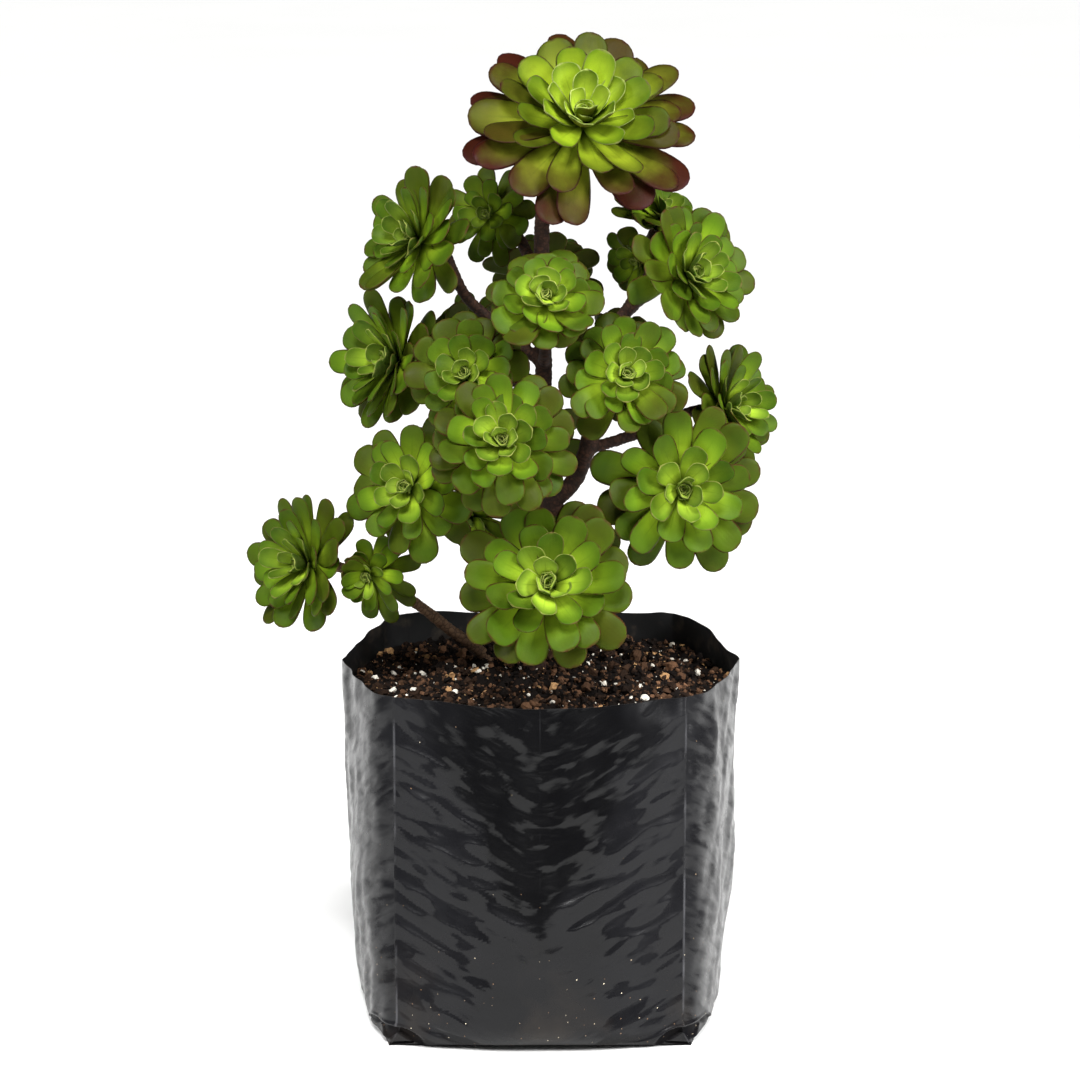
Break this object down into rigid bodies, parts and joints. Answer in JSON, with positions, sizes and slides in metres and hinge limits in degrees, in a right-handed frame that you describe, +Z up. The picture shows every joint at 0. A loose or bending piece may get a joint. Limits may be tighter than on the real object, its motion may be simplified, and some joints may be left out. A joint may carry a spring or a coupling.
{
  "type": "potted rosette succulent",
  "caption": "Branching succulent with leafy rosettes on bare woody stems, in potting mix in a gusseted black film grow bag.",
  "frame": {"origin": "centre of the bag's underside, on the surface that it stands on", "axes": "+Z up, +X to the right and -Y towards the viewer as the plant is seen in the picture"},
  "size_m": [0.2974, 0.206, 0.5432],
  "materials": {
    "bag_film": "thin black polythene film with a dull sheen, wrinkled",
    "potting_mix": "dark crumbly peat mix with white mineral grains",
    "bark": "dark brown bark with leaf scars, matte",
    "young_bark": "grey-brown bark with leaf scars, matte",
    "leaf": "waxy green succulent leaf, brighter at the heart, with a thin brown edge when old",
    "leaf_top": "waxy green succulent leaf, dark red towards the tip when old"
  },
  "bodies": {
    "root": {"grow_bag": "bag_film", "potting_mix": "potting_mix", "main_stem": "bark", "left_stem": "young_bark", "rosette_top": "leaf_top", "rosette_upper_left": "leaf", "rosette_upper_left_inner": "leaf", "rosette_upper_mid": "leaf", "rosette_upper_right": "leaf", "rosette_crown_back": "leaf", "rosette_right_inner": "leaf", "rosette_left_mid": "leaf", "rosette_mid_left": "leaf", "rosette_mid_right": "leaf", "rosette_right_mid": "leaf", "rosette_mid_centre": "leaf", "rosette_low_right": "leaf", "rosette_low_left": "leaf", "rosette_far_left": "leaf", "rosette_left_small": "leaf", "rosette_front_low": "leaf", "rosette_behind_low": "leaf", "rosette_back_top": "leaf", "rosette_back_left": "leaf", "rosette_back_right": "leaf", "rosette_back_low": "leaf", "rosette_back_foot": "leaf"}
  },
  "joints": []
}
